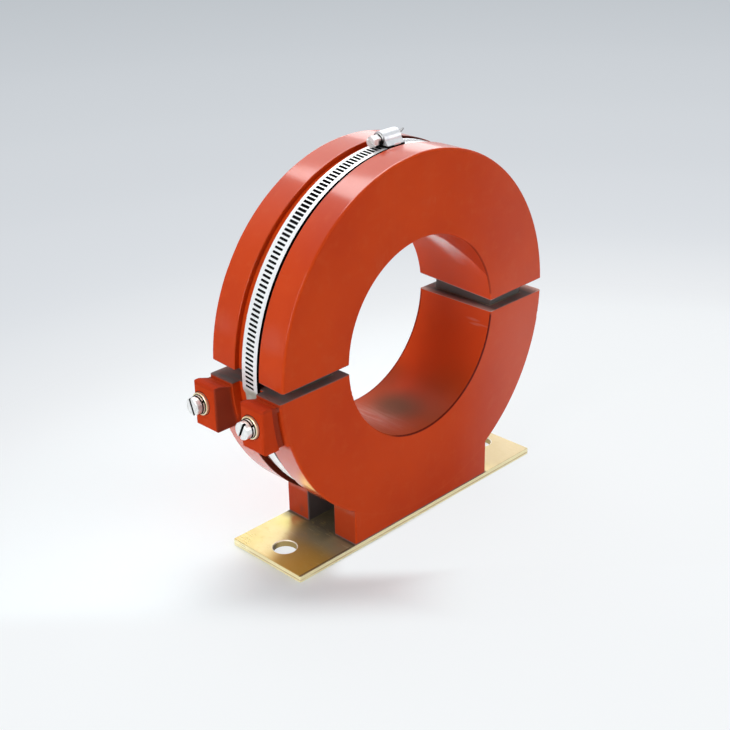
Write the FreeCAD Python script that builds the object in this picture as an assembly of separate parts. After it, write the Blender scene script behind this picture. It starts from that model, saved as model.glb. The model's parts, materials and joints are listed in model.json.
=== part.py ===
import FreeCAD, Part
import math
import os

from FreeCAD import Vector

# Split-core zero-sequence current transformer, in millimetres.
# The origin is the middle of the base plate's underside. X runs along the plate with the
# terminals at -X, Y is the axis of the cable bore, and Z is up.

# Base plate
plate_thickness = 4.0
plate_overhang = 44.2
plate_corner_r = 1.0
plate_edge = 0.4
mount_hole_d = 14.0
mount_hole_inset = 14.7

# Resin ring, cast in two halves
bore_d = 120.0
ring_wall = 49.0
ring_width = 58.0
ring_clearance = 5.0
split_low = 2.9
split_high = 4.9
split_tilt = 0.8
split_draft = 3.1
ring_edge_r = 1.6
bore_edge_r = 1.0
split_edge_r = 0.5

# Peripheral groove for the clamp band
groove_width = 19.5
groove_depth = 3.0
groove_lip_r = 0.6

# Feet under the lower half, with a tunnel between them for the band
foot_length = 117.0
tunnel_width = 22.0
foot_edge_r = 1.0

# Raised pad and terminal blocks on the lower half
pad_rise = 2.4
block_reach = 14.4
block_width = 17.8
block_height = 26.4
block_inset = 0.7
block_rise = 0.1
block_land = 4.0
block_dip = 2.0
block_edge_r = 1.6
block_dip_end = 1.6
relief_width = 5.0
relief_depth = 1.8

# Cut core, its tape wrap and the secondary winding
bore_cover = 3.5
side_cover = 3.0
groove_cover = 6.0
winding_thickness = 3.0
wrap_thickness = 1.0
winding_start = 6.0

# Terminals, M6; each is set off a little from the middle of its block
terminal_drop = 11.8
front_terminal_offset = 0.4
rear_terminal_offset = 2.6
screw_d = 6.0
screw_head_d = 10.0
screw_head_h = 3.6
screw_head_edge_r = 0.6
screw_slot_w = 1.6
screw_slot_depth = 1.8
front_slot_tilt = 25.0
rear_slot_tilt = -20.0
screw_grip = 10.0
spring_washer_d = 10.8
spring_washer_t = 1.6
spring_washer_cut = 1.2
spring_washer_slant = 25.0
spring_washer_turn = 55.0
flat_washer_d = 13.0
flat_washer_t = 1.6
flat_washer_edge = 0.25
insert_d = 9.0
insert_length = 14.0
insert_end_wall = 2.0
thread_play = 0.1
lead_d = 2.5

# Screws and inserts that hold the base plate to the feet, M6
base_screw_d = 6.0
base_screw_head_d = 12.0
base_screw_length = 14.0
base_screw_sink = 0.3
base_socket_af = 4.0
base_socket_depth = 2.0
base_screw_pitch = 80.0
foot_insert_d = 9.0
foot_insert_length = 13.0

# Worm-drive clamp
band_width = 12.0
band_thickness = 0.7
band_play = 0.05
band_offset = -1.3
band_step_start = 30.0
band_step_end = 75.0
tail_end = 184.0
tail_corner_r = 3.0
slot_length = 6.5
slot_width = 1.35
slot_pitch = 2.7
slot_slant = 6.7
slot_first = 60.0
slot_end_margin = 4.7
saddle_thickness = 0.6
saddle_tab_length = 5.0
saddle_tab_height = 3.0
housing_length = 13.0
housing_wall = 0.9
housing_play = 0.3
worm_d = 7.0
worm_edge = 0.5
worm_play = 0.3
worm_neck_d = 5.0
worm_pivot_d = 3.0
worm_collar_d = 7.4
worm_collar_t = 1.1
worm_hex_af = 6.0
worm_hex_length = 5.6
worm_slot_w = 1.2
worm_slot_depth = 1.6
worm_slot_turn = 35.0

# How far a cutting shape runs past what it cuts, and how far a joined shape runs into the ring
margin = 1.0
root_depth = 3.0

# Values that follow from the sizes above
bore_r = bore_d / 2
ring_r = bore_r + ring_wall
floor_r = ring_r - groove_depth
pad_r = ring_r + pad_rise
axis_z = plate_thickness + ring_clearance + ring_r
plate_width = ring_width
foot_y = (ring_width + tunnel_width) / 4
block_pitch = ring_width - 2 * block_inset - block_width
plate_length = foot_length + 2 * plate_overhang
mount_hole_x = plate_length / 2 - mount_hole_inset
core_in_r = bore_r + bore_cover + winding_thickness + wrap_thickness
core_out_r = floor_r - groove_cover - winding_thickness - wrap_thickness
core_width = ring_width - 2 * (side_cover + winding_thickness + wrap_thickness)
block_end_x = -(ring_r + block_reach)
block_top = block_rise - split_low
block_bottom = block_top - block_height
terminal_z = block_top - terminal_drop
band_in_r = floor_r + band_play
band_out_r = band_in_r + band_thickness
saddle_in_r = band_out_r + band_play
saddle_out_r = saddle_in_r + saddle_thickness
tail_in_r = saddle_out_r + band_play
tail_out_r = tail_in_r + band_thickness
saddle_half_angle = math.degrees(math.asin((housing_length / 2 + housing_wall / 2) / saddle_out_r))
housing_half_width = band_width / 2 + housing_play + housing_wall
worm_z = tail_out_r + worm_play + worm_d / 2
reach = 2 * ring_r

Y_AXIS = Vector(0, 1, 0)
X_AXIS = Vector(1, 0, 0)
Z_AXIS = Vector(0, 0, 1)
ORIGIN = Vector(0, 0, 0)


def box(x0, x1, y0, y1, z0, z1):
    return Part.makeBox(x1 - x0, y1 - y0, z1 - z0, Vector(x0, y0, z0))


def y_cylinder(radius, y0, y1, x=0.0, z=0.0):
    return Part.makeCylinder(radius, y1 - y0, Vector(x, y0, z), Y_AXIS)


def x_cylinder(radius, x0, x1, y=0.0, z=0.0):
    return Part.makeCylinder(radius, x1 - x0, Vector(x0, y, z), X_AXIS)


def z_cylinder(radius, z0, z1, x=0.0, y=0.0):
    return Part.makeCylinder(radius, z1 - z0, Vector(x, y, z0))


def polar(radius, degrees, y=0.0):
    a = math.radians(degrees)
    return Vector(radius * math.cos(a), y, radius * math.sin(a))


def rounded_face(corners):
    """A flat face from corners (u, v, radius) in the XY plane, each rounded by its radius."""
    points = [Vector(u, v, 0) for u, v, r in corners]
    count = len(corners)
    starts = []
    ends = []
    middles = []
    for i, (u, v, r) in enumerate(corners):
        here = points[i]
        back = (points[i - 1] - here).normalize()
        ahead = (points[(i + 1) % count] - here).normalize()
        half = math.acos(max(-1.0, min(1.0, back.dot(ahead)))) / 2
        cut = r / math.tan(half)
        starts.append(here + back * cut)
        ends.append(here + ahead * cut)
        inward = (back + ahead).normalize()
        middles.append(here + inward * (r / math.sin(half) - r))
    edges = []
    for i in range(count):
        if corners[i][2] > 0:
            edges.append(Part.Arc(starts[i], middles[i], ends[i]).toShape())
        following = starts[(i + 1) % count]
        edges.append(Part.LineSegment(ends[i], following).toShape())
    return Part.Face(Part.Wire(edges))


def turned(corners):
    """A full turn about the bore axis of a face given as (radius, y, corner radius)."""
    return rounded_face(corners).revolve(ORIGIN, Y_AXIS, 360)


def plain_ring(inner, outer, width):
    h = width / 2
    return turned([(inner, -h, 0), (outer, -h, 0), (outer, h, 0), (inner, h, 0)])


def grooved_ring(outer):
    """The resin ring with its peripheral groove, out to the given radius."""
    h = ring_width / 2
    g = groove_width / 2
    lip = groove_lip_r
    return turned([
        (bore_r, -h, bore_edge_r), (outer, -h, ring_edge_r), (outer, -g, lip), (floor_r, -g, 0),
        (floor_r, g, 0), (outer, g, lip), (outer, h, ring_edge_r), (bore_r, h, bore_edge_r),
    ])


def above(z):
    return box(-reach, reach, -reach, reach, z, z + 2 * reach)


def below(z):
    return box(-reach, reach, -reach, reach, z - 2 * reach, z)


def split_height(x, y):
    """The height of the upper casting's split face over the bore axis; it rises towards +X and +Y."""
    return split_high + x * math.tan(math.radians(split_tilt)) + y * math.tan(math.radians(split_draft))


def over_split():
    """The space over the upper casting's split face."""
    places = [(-reach, -reach), (reach, -reach), (reach, reach), (-reach, reach)]
    corners = [Vector(x, y, split_height(x, y)) for x, y in places]
    return Part.Face(Part.makePolygon(corners + corners[:1])).extrude(Vector(0, 0, 2 * reach))


def same(a, b):
    return abs(a - b) < 1e-6


def end_edges(solid, x):
    """The edges of a solid that lie in the plane at x."""
    return [e for e in solid.Edges if same(e.BoundBox.XMin, x) and same(e.BoundBox.XMax, x)]


def level_edges(solid, z):
    """The edges of a solid that lie in the level plane at z."""
    return [e for e in solid.Edges if same(e.BoundBox.ZMin, z) and same(e.BoundBox.ZMax, z)]


def split_edges(solid):
    """The edges of a solid that bound the upper casting's split face."""
    chosen = []
    for e in solid.Edges:
        if all(same(p.z, split_height(p.x, p.y)) for p in e.discretize(3)):
            chosen.append(e)
    return chosen


def hexagon(across_flats):
    """A six-sided face about the origin in the XY plane, with a corner on X."""
    corner = across_flats / math.sqrt(3)
    places = [math.radians(a) for a in range(0, 360, 60)]
    return rounded_face([(corner * math.cos(a), corner * math.sin(a), 0) for a in places])


def raised(shape):
    """Moves a shape that is built about the bore axis up to its place over the plate."""
    moved = shape.copy()
    moved.translate(Vector(0, 0, axis_z))
    return moved


def clamped(shape):
    """A shape of the clamp, which lies a little off the middle of the groove."""
    return raised(shape.translated(Vector(0, band_offset, 0)))


def make_base_plate():
    h = plate_length / 2
    w = plate_width / 2
    r = plate_corner_r
    outline = rounded_face([(-h, -w, r), (h, -w, r), (h, w, r), (-h, w, r)])
    plate = outline.extrude(Vector(0, 0, plate_thickness))
    top = plate_thickness + margin
    for side in (-1, 1):
        plate = plate.cut(z_cylinder(mount_hole_d / 2, -margin, top, side * mount_hole_x))
    plate = plate.makeChamfer(plate_edge, level_edges(plate, plate_thickness))
    for x, y in base_screw_places():
        plate = plate.cut(z_cylinder(base_screw_d / 2 + thread_play, -margin, top, x, y))
        plate = plate.cut(countersink(x, y, thread_play))
    return plate


def base_screw_places():
    return [(sx * base_screw_pitch / 2, sy * foot_y) for sx in (-1, 1) for sy in (-1, 1)]


def countersink(x, y, play):
    """The cone of a countersunk head, with its wide end a little above the plate's underside."""
    wide = base_screw_head_d / 2 + play
    narrow = base_screw_d / 2 + play
    depth = wide - narrow
    cone = Part.makeCone(wide, narrow, depth, Vector(x, y, base_screw_sink))
    if play > 0:
        cone = cone.fuse(z_cylinder(wide, -margin, base_screw_sink, x, y))
    return cone


def make_base_screws():
    screws = []
    for x, y in base_screw_places():
        top = base_screw_sink + base_screw_length
        screw = countersink(x, y, 0).fuse(z_cylinder(base_screw_d / 2, base_screw_sink, top, x, y))
        socket = hexagon(base_socket_af).extrude(Vector(0, 0, base_socket_depth))
        socket.translate(Vector(x, y, base_screw_sink))
        screws.append(screw.cut(socket))
    return Part.makeCompound(screws)


def foot_insert_outlines():
    """The threaded inserts in the feet as solid rods, from the plate's top upwards."""
    top = plate_thickness + foot_insert_length
    return [z_cylinder(foot_insert_d / 2, plate_thickness, top, x, y) for x, y in base_screw_places()]


def make_foot_inserts():
    bore_top = base_screw_sink + base_screw_length + thread_play
    inserts = []
    for rod, (x, y) in zip(foot_insert_outlines(), base_screw_places()):
        inserts.append(rod.cut(z_cylinder(base_screw_d / 2 + thread_play, 0, bore_top, x, y)))
    return Part.makeCompound(inserts)


def make_core_half(keep):
    return plain_ring(core_in_r, core_out_r, core_width).common(keep)


def wrap_outline():
    t = wrap_thickness
    return plain_ring(core_in_r - t, core_out_r + t, core_width + 2 * t)


def winding_outline():
    t = wrap_thickness + winding_thickness
    return plain_ring(core_in_r - t, core_out_r + t, core_width + 2 * t)


def make_wrap_half(keep):
    return wrap_outline().cut(plain_ring(core_in_r, core_out_r, core_width)).common(keep)


def make_winding():
    return winding_outline().cut(wrap_outline()).common(below(-split_low - winding_start))


def block_places():
    return -block_pitch / 2, block_pitch / 2


def terminal_places():
    """The Y position of each terminal."""
    front, rear = block_places()
    return {"front": front + front_terminal_offset, "rear": rear + rear_terminal_offset}


def make_block(y):
    """One terminal block: its top dips towards the ring, and its outer side steps in at the root."""
    y0 = y - block_width / 2
    root_x = -(floor_r - root_depth)
    dip_x = -(pad_r + block_dip_end)
    dip_z = -split_low - block_dip
    profile = [
        (block_end_x, block_bottom), (block_end_x, block_top), (block_end_x + block_land, block_top),
        (dip_x, dip_z), (root_x, dip_z), (root_x, block_bottom),
    ]
    points = [Vector(x, y0, z) for x, z in profile]
    block = Part.Face(Part.makePolygon(points + points[:1])).extrude(Vector(0, block_width, 0))
    block = block.makeFillet(block_edge_r, end_edges(block, block_end_x))
    side = 1 if y > 0 else -1
    outer_face = y + side * block_width / 2
    low, high = sorted((outer_face, outer_face - side * relief_depth))
    step = y_cylinder(pad_r + relief_width, low, high).cut(y_cylinder(floor_r, low, high))
    step = step.common(below(dip_z - block_dip))
    return block.cut(step)


def make_feet():
    """Two feet that run up into the ring, flush with its faces."""
    feet = []
    top = ring_r + ring_clearance
    for side in (-1, 1):
        low, high = sorted((side * tunnel_width / 2, side * ring_width / 2))
        h = foot_length / 2
        r = foot_edge_r
        outline = rounded_face([(-h, low, r), (h, low, r), (h, high, r), (-h, high, r)])
        outline.translate(Vector(0, 0, plate_thickness - axis_z))
        foot = outline.extrude(Vector(0, 0, top))
        feet.append(foot.cut(y_cylinder(floor_r - root_depth, low - margin, high + margin)))
    return feet


def terminal_insert_outline(y):
    return x_cylinder(insert_d / 2, block_end_x, block_end_x + insert_length, y, terminal_z)


def lead_outline(y):
    """A lead runs from the inner end of the terminal insert to the winding."""
    wire = x_cylinder(lead_d / 2, block_end_x + insert_length, -core_in_r, y, terminal_z)
    pieces = wire.cut(winding_outline()).Solids
    return min(pieces, key=lambda s: s.CenterOfMass.x)


def make_lower_casting():
    body = grooved_ring(ring_r).common(below(-split_low))
    pad_zone = box(-reach, -bore_r, -reach, reach, block_bottom, -split_low)
    body = body.fuse(grooved_ring(pad_r).common(pad_zone)).removeSplitter()
    body = body.makeFillet(split_edge_r, level_edges(body, -split_low))
    for foot in make_feet():
        body = body.fuse(foot)
    for y in block_places():
        body = body.fuse(make_block(y))
    body = body.removeSplitter()
    body = body.cut(make_core_half(below(0)))
    body = body.cut(make_wrap_half(below(-split_low)))
    body = body.cut(make_winding())
    for y in terminal_places().values():
        body = body.cut(terminal_insert_outline(y))
        body = body.cut(lead_outline(y))
    for rod in foot_insert_outlines():
        lowered = rod.copy()
        lowered.translate(Vector(0, 0, -axis_z))
        body = body.cut(lowered)
    return body


def make_upper_casting():
    body = grooved_ring(ring_r).common(over_split())
    body = body.makeFillet(split_edge_r, split_edges(body))
    body = body.cut(make_core_half(above(0)))
    return body.cut(make_wrap_half(over_split()))


def make_terminal_insert(y):
    bore_end = block_end_x + insert_length - insert_end_wall
    bore = x_cylinder(screw_d / 2 + thread_play, block_end_x - margin, bore_end, y, terminal_z)
    return terminal_insert_outline(y).cut(bore)


def washer_stack():
    """The X positions outward from the block: flat washer, spring washer, head, top of head."""
    a = block_end_x
    b = a - flat_washer_t
    c = b - spring_washer_t
    return a, b, c, c - screw_head_h


def washer_hole(outer, inner, y):
    return x_cylinder(screw_d / 2 + 2 * thread_play, outer - margin, inner + margin, y, terminal_z)


def make_flat_washer(y):
    inner, outer, _, _ = washer_stack()
    washer = x_cylinder(flat_washer_d / 2, outer, inner, y, terminal_z)
    washer = washer.makeChamfer(flat_washer_edge, end_edges(washer, outer))
    return washer.cut(washer_hole(outer, inner, y))


def make_spring_washer(y):
    """A split lock washer, drawn flat, with its cut at a slant."""
    _, inner, outer, _ = washer_stack()
    washer = x_cylinder(spring_washer_d / 2, outer, inner, y, terminal_z)
    washer = washer.cut(washer_hole(outer, inner, y))
    h = spring_washer_cut / 2
    half = spring_washer_t / 2 + margin
    cut = box(-half, half, -h, h, 0, spring_washer_d)
    cut.rotate(ORIGIN, Z_AXIS, spring_washer_slant)
    cut.rotate(ORIGIN, X_AXIS, spring_washer_turn)
    cut.translate(Vector((inner + outer) / 2, y, terminal_z))
    return washer.cut(cut)


def make_terminal_screw(y, tilt):
    _, _, seat, top = washer_stack()
    head = x_cylinder(screw_head_d / 2, top, seat, y, terminal_z)
    head = head.makeFillet(screw_head_edge_r, end_edges(head, top))
    h = screw_slot_w / 2
    slot = box(top - margin, top + screw_slot_depth, -h, h, -screw_head_d, screw_head_d)
    slot.rotate(ORIGIN, X_AXIS, tilt)
    slot.translate(Vector(0, y, terminal_z))
    shank = x_cylinder(screw_d / 2, seat, block_end_x + screw_grip, y, terminal_z)
    return head.cut(slot).fuse(shank)


def arc_edge(r0, r1, a0, a1, y):
    """An arc from (r0, a0) to (r1, a1), whose middle has the mean of both."""
    return Part.Arc(polar(r0, a0, y), polar((r0 + r1) / 2, (a0 + a1) / 2, y), polar(r1, a1, y)).toShape()


def band_side(inner_r, outer_r, y, first):
    """One side of the band's outline, from its fixed end round to the tip of its tail."""
    lap = 360.0
    middle = (first + lap + band_step_start) / 2
    return [
        arc_edge(inner_r, inner_r, first, middle, y),
        arc_edge(inner_r, inner_r, middle, lap + band_step_start, y),
        arc_edge(inner_r, outer_r, lap + band_step_start, lap + band_step_end, y),
        arc_edge(outer_r, outer_r, lap + band_step_end, lap + tail_end, y),
    ]


def slot_tool(angle, low, high):
    """A slanted slot with round ends, as a prism that points outwards at the given angle."""
    flat = slot_length / 2 - slot_width / 2
    h = slot_width / 2
    up = Part.LineSegment(Vector(h, -flat, 0), Vector(h, flat, 0)).toShape()
    cap = Part.Arc(Vector(h, flat, 0), Vector(0, flat + h, 0), Vector(-h, flat, 0)).toShape()
    down = Part.LineSegment(Vector(-h, flat, 0), Vector(-h, -flat, 0)).toShape()
    toe = Part.Arc(Vector(-h, -flat, 0), Vector(0, -flat - h, 0), Vector(h, -flat, 0)).toShape()
    prism = Part.Face(Part.Wire([up, cap, down, toe])).extrude(Vector(0, 0, high - low))
    prism.rotate(ORIGIN, Z_AXIS, -slot_slant)
    prism.translate(Vector(0, 0, low))
    prism.rotate(ORIGIN, Y_AXIS, 90 - angle)
    return prism


def make_clamp_band():
    """One strip: from its end under the housing it goes once round, then over itself as the tail."""
    y = -band_width / 2
    first = 90 - saddle_half_angle
    inner = band_side(band_in_r, tail_in_r, y, first)
    outer = band_side(band_out_r, tail_out_r, y, first)
    start = Part.LineSegment(polar(band_in_r, first, y), polar(band_out_r, first, y)).toShape()
    tip = Part.LineSegment(polar(tail_in_r, tail_end, y), polar(tail_out_r, tail_end, y)).toShape()
    outline = Part.Wire(Part.sortEdges(inner + [tip] + outer + [start])[0])
    band = Part.Face(outline).extrude(Vector(0, band_width, 0))
    middle = polar((tail_in_r + tail_out_r) / 2, tail_end)
    sides = [middle + Vector(0, y, 0), middle - Vector(0, y, 0)]
    corners = [e for e in band.Edges if min((e.CenterOfMass - p).Length for p in sides) < band_play]
    band = band.makeFillet(tail_corner_r, corners)
    step = math.degrees(slot_pitch / tail_out_r)
    last = tail_end - math.degrees(slot_end_margin / tail_out_r)
    tools = []
    angle = last
    while angle > slot_first:
        low = (band_out_r + tail_in_r) / 2 if angle > first - step else floor_r - margin
        tools.append(slot_tool(angle, low, tail_out_r + margin))
        angle -= step
    return band.cut(Part.makeCompound(tools))


def make_saddle():
    """The curved seat of the housing, with a tab turned up at each side."""
    w = housing_half_width
    plate = y_cylinder(saddle_out_r, -w, w).cut(y_cylinder(saddle_in_r, -w, w))
    a = math.radians(90 - saddle_half_angle)
    limit = saddle_out_r * math.cos(a)
    plate = plate.common(box(-limit, limit, -reach, reach, 0, reach))
    near = w + band_play
    far = near + saddle_thickness
    h = saddle_tab_length / 2
    for side in (-1, 1):
        low, high = sorted((side * near, side * far))
        tab = box(-h, h, low, high, 0, saddle_out_r + saddle_tab_height)
        low, high = sorted((side * (w - saddle_thickness), side * far))
        root = box(-h, h, low, high, 0, reach).common(y_cylinder(saddle_out_r, low, high))
        plate = plate.fuse(tab.fuse(root).cut(y_cylinder(saddle_in_r, -reach, reach)))
    return plate.removeSplitter()


def housing_section(play, x):
    """The arched section of the housing in the plane at x, grown outwards from the worm by play."""
    w = band_width / 2 + play
    r = worm_d / 2 + play
    shoulder = tail_out_r + play - housing_play + 2 * band_play
    top = Part.Arc(Vector(x, -r, worm_z), Vector(x, 0, worm_z + r), Vector(x, r, worm_z)).toShape()
    half = [(r, worm_z), (w, shoulder), (w, 0)]
    side = [Vector(x, y, z) for y, z in half] + [Vector(x, -y, z) for y, z in reversed(half)]
    return Part.Face(Part.Wire([top] + Part.makePolygon(side).Edges))


def make_housing():
    """A pressed arch over the worm and the band, with a lip at each end that holds the worm."""
    h = housing_length / 2
    outer = housing_section(housing_play + housing_wall, -h).extrude(Vector(2 * h, 0, 0))
    inner = housing_section(housing_play, -h).extrude(Vector(2 * h, 0, 0))
    shell = outer.cut(inner)
    lip_low = tail_out_r + 2 * band_play
    for x0, hole in ((-h, worm_neck_d), (h - housing_wall, worm_pivot_d)):
        lip = housing_section(housing_play + housing_wall / 2, x0).extrude(Vector(housing_wall, 0, 0))
        lip = lip.common(above(lip_low))
        x1 = x0 + housing_wall
        round_hole = x_cylinder((hole + housing_play) / 2, x0 - margin, x1 + margin, 0, worm_z)
        shell = shell.fuse(lip.cut(round_hole))
    return shell.removeSplitter().cut(y_cylinder(saddle_out_r, -reach, reach))


def make_worm_screw():
    h = housing_length / 2
    inside = h - housing_wall - housing_play
    collar = -h - housing_play / 2
    head = collar - worm_collar_t
    end = head - worm_hex_length
    worm = x_cylinder(worm_d / 2, -inside, inside, 0, worm_z)
    worm = worm.makeChamfer(worm_edge, end_edges(worm, -inside) + end_edges(worm, inside))
    neck = x_cylinder(worm_neck_d / 2, collar, 0, 0, worm_z)
    pivot = x_cylinder(worm_pivot_d / 2, 0, h, 0, worm_z)
    flange = x_cylinder(worm_collar_d / 2, head, collar, 0, worm_z)
    half = worm_hex_af / 2
    cap = hexagon(worm_hex_af).extrude(Vector(0, 0, worm_hex_length))
    cap.rotate(ORIGIN, Y_AXIS, 90)
    cap.translate(Vector(end, 0, worm_z))
    worn = Part.makeCone(half, half + worm_hex_length, worm_hex_length, Vector(end, 0, worm_z), X_AXIS)
    w = worm_slot_w / 2
    slot = box(end - margin, end + worm_slot_depth, -2 * half, 2 * half, worm_z - w, worm_z + w)
    slot.rotate(Vector(0, 0, worm_z), X_AXIS, worm_slot_turn)
    cap = cap.common(worn).cut(slot)
    return worm.fuse(neck).fuse(pivot).fuse(flange).fuse(cap)


def build():
    nodes = {
        "base_plate": make_base_plate(),
        "base_screws": make_base_screws(),
        "foot_inserts": make_foot_inserts(),
        "lower_casting": raised(make_lower_casting()),
        "upper_casting": raised(make_upper_casting()),
        "lower_core": raised(make_core_half(below(0))),
        "upper_core": raised(make_core_half(above(0))),
        "lower_core_wrap": raised(make_wrap_half(below(-split_low))),
        "upper_core_wrap": raised(make_wrap_half(over_split())),
        "secondary_winding": raised(make_winding()),
        "clamp_band": clamped(make_clamp_band()),
        "housing_saddle": clamped(make_saddle()),
        "worm_housing": clamped(make_housing()),
        "worm_screw": clamped(make_worm_screw()),
    }
    tilts = {"front": front_slot_tilt, "rear": rear_slot_tilt}
    for end, y in terminal_places().items():
        nodes["winding_lead_" + end] = raised(lead_outline(y))
        nodes["terminal_insert_" + end] = raised(make_terminal_insert(y))
        nodes["flat_washer_" + end] = raised(make_flat_washer(y))
        nodes["spring_washer_" + end] = raised(make_spring_washer(y))
        nodes["terminal_screw_" + end] = raised(make_terminal_screw(y, tilts[end]))
    return nodes


def main():
    os.makedirs("parts", exist_ok=True)
    for name, shape in build().items():
        shape.exportStep("parts/" + name + ".step")
        state = "valid" if shape.isValid() else "NOT VALID"
        print(name, state, len(shape.Solids), "solids", round(shape.Volume, 1))


main()
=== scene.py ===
import json
import math

import bmesh
import bpy
from mathutils import Matrix, Vector


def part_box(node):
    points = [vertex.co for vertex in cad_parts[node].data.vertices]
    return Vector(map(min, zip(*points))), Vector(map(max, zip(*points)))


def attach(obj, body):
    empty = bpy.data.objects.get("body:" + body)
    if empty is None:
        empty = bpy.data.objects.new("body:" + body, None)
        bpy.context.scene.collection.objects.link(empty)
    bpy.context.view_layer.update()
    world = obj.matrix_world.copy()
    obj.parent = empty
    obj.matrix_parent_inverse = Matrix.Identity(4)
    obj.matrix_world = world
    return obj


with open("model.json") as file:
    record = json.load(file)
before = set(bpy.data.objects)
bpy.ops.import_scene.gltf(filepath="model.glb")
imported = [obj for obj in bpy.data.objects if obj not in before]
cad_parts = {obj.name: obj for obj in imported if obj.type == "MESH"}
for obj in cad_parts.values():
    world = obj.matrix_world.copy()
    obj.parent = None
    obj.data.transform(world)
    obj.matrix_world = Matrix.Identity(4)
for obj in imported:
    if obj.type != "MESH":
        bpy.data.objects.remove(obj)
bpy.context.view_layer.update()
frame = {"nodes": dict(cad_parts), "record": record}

# Camera

VIEW_AZIMUTH = math.radians(-44.86)
VIEW_ELEVATION = math.radians(25.08)
VIEW_ROLL = math.radians(-1.07)
VIEW_DISTANCE = 0.78107
VIEW_AIM_SIDE = -0.01372
VIEW_AIM_HEIGHT = 0.09107
LENS = 64.43
SENSOR = 36.0


def make_camera():
    """A camera at the photo's viewing angle, turned a little about its own line of sight."""
    ca, sa = math.cos(VIEW_AZIMUTH), math.sin(VIEW_AZIMUTH)
    ce, se = math.cos(VIEW_ELEVATION), math.sin(VIEW_ELEVATION)
    back = Vector((sa * ce, -ca * ce, se))
    level = Vector((ca, sa, 0))
    raised = back.cross(level)
    right = level * math.cos(VIEW_ROLL) + raised * math.sin(VIEW_ROLL)
    up = raised * math.cos(VIEW_ROLL) - level * math.sin(VIEW_ROLL)
    aim = level * VIEW_AIM_SIDE + Vector((0, 0, VIEW_AIM_HEIGHT))
    data = bpy.data.cameras.new("view_camera")
    data.lens = LENS
    data.sensor_width = SENSOR
    data.clip_start = 0.02
    data.clip_end = 200
    camera = bpy.data.objects.new("view_camera", data)
    bpy.context.scene.collection.objects.link(camera)
    turn = Matrix((right, up, back)).transposed().to_4x4()
    camera.matrix_world = Matrix.Translation(aim + back * VIEW_DISTANCE) @ turn
    bpy.context.scene.camera = camera


make_camera()

# Sizes of the solids, in metres

PLATE_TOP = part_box("base_plate")[1].z
AXIS_Z = 0.118
RING_R = 0.109
BORE_R = 0.060
PAD_R = 0.1114
HALF_WIDTH = 0.029
GROOVE_FLOOR_R = RING_R - 0.003
LOWER_SPLIT = -0.0029
UPPER_SPLIT = 0.0049
UPPER_SPLIT_TILT = math.tan(math.radians(0.8))
UPPER_SPLIT_DRAFT = math.tan(math.radians(3.1))
FOOT_X = 0.0585
TUNNEL_Y = 0.011
GROOVE_Y = 0.00975
RELIEF_R = 0.1164
BLOCK_IN_Y = 0.0105
BLOCK_END_X = -0.1234
HOLE_X = 0.088
HOLE_R = 0.007
TAIL_R = 0.10815
BAND_Y = -0.0013
SLOT_PITCH = 0.0027
SLOT_HALF_LENGTH = 0.00325
SLOT_HALF_WIDTH = 0.000675
SLOT_SLANT = math.tan(math.radians(6.7))
TAIL_END = math.radians(184.0)
SLOT_LAST = TAIL_END - 0.0047 / TAIL_R
HOUSING_FOOT_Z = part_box("clamp_band")[1].z
HOUSING_FAR_X = 0.0065
TERMINAL_Z = 0.1034
HEAD_FACE_X = -0.1302
HEAD_R = 0.0050
SPRING_X = -0.1266
FLAT_X = -0.1250
LEFT_SIDE = (-0.09, -0.10)
WORM_Z = 0.22995
TERMINAL_Y = {"front": -0.0190, "rear": 0.0220}

# Shader maths


class Wire:
    """A socket in a material's nodes. Sums and products with it add Math nodes."""

    def __init__(self, tree, socket=None):
        self.tree = tree
        self.socket = socket

    def node(self, kind, settings=(), values=(), out=0):
        """Adds a node: its settings first, then the values or links of its sockets."""
        made = self.tree.nodes.new("ShaderNode" + kind)
        for name, value in dict(settings).items():
            if name == "stops":
                set_stops(made.color_ramp, value)
            else:
                setattr(made, name, value)
        for name, value in dict(values).items():
            if isinstance(value, Wire):
                self.tree.links.new(value.socket, made.inputs[name])
            else:
                made.inputs[name].default_value = value
        return Wire(self.tree, made.outputs[out]) if made.outputs else None

    def math(self, operation, *others):
        return self.node("Math", {"operation": operation}, dict(enumerate((self, *others))))

    def __add__(self, other):
        return self.math("ADD", other)

    def __sub__(self, other):
        return self.math("SUBTRACT", other)

    def __rsub__(self, other):
        return self.node("Math", {"operation": "SUBTRACT"}, {0: other, 1: self})

    def __mul__(self, other):
        return self.math("MULTIPLY", other)

    def __truediv__(self, other):
        return self.math("DIVIDE", other)

    def __abs__(self):
        return self.math("ABSOLUTE")

    __radd__ = __add__
    __rmul__ = __mul__


def set_stops(ramp, stops):
    """Gives a colour ramp its stops, each a place from 0 to 1 and a colour."""
    ramp.interpolation = "CARDINAL"
    while len(ramp.elements) < len(stops):
        ramp.elements.new(0.5)
    for element, (place, colour) in zip(ramp.elements, stops):
        element.position = place
        element.color = rgba(colour)


def rgba(colour):
    """A colour with its fourth number; a socket stays as it is."""
    return colour if isinstance(colour, Wire) else (*colour, 1.0)


def rise(value, low, high):
    """0 below low and 1 above high, smooth between them; low above high makes a fall."""
    sockets = {"Value": value, "From Min": low, "From Max": high}
    return value.node("MapRange", {"interpolation_type": "SMOOTHSTEP"}, sockets)


def band(value, low, high, soft):
    """1 between low and high and 0 outside them, with soft edges."""
    return rise(value, low - soft, low) * rise(value, high + soft, high)


def tint(amount, a, b):
    """Colour a where amount is 0 and colour b where it is 1."""
    return amount.node("Mix", {"data_type": "RGBA"}, {0: amount, 6: rgba(a), 7: rgba(b)}, 2)


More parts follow.
